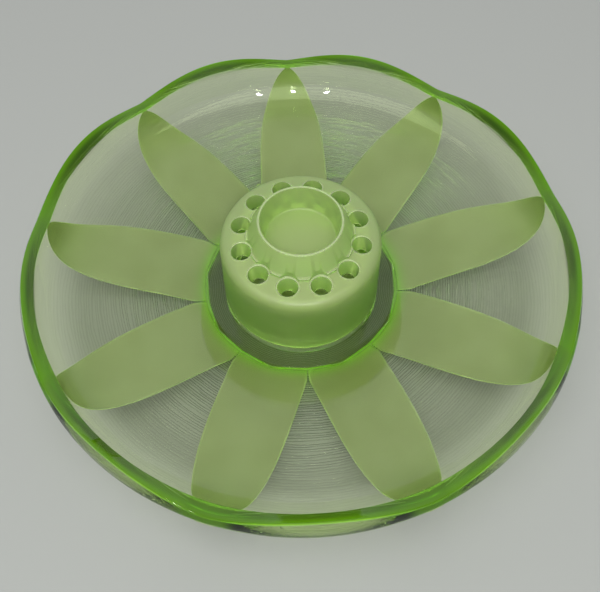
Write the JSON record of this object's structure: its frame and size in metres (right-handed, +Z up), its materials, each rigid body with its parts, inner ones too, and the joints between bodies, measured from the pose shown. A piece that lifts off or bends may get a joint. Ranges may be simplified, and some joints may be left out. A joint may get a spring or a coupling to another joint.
{
  "type": "glass float bowl with flower frog",
  "caption": "Round green glass float bowl with frosted petals and a scalloped rim, and a frosted drum flower frog with stem holes and a raised cup that lifts out.",
  "frame": {"origin": "centre of the foot, on the surface that the bowl stands on", "axes": "+Z up along the bowl's axis, +Y through the middle of the first petal"},
  "size_m": [0.3326, 0.333, 0.074],
  "materials": {
    "bowl_glass": "clear and fire polished inside, frosted on the petals",
    "frog_glass": "frosted"
  },
  "bodies": {
    "bowl": {"float_bowl": "bowl_glass"},
    "frog": {"flower_frog": "frog_glass"}
  },
  "joints": [
    {"name": "frog_lift", "type": "slide", "parent": "bowl", "child": "frog", "axis": [0, 0, 1], "range_m": [0, 0.12]}
  ]
}
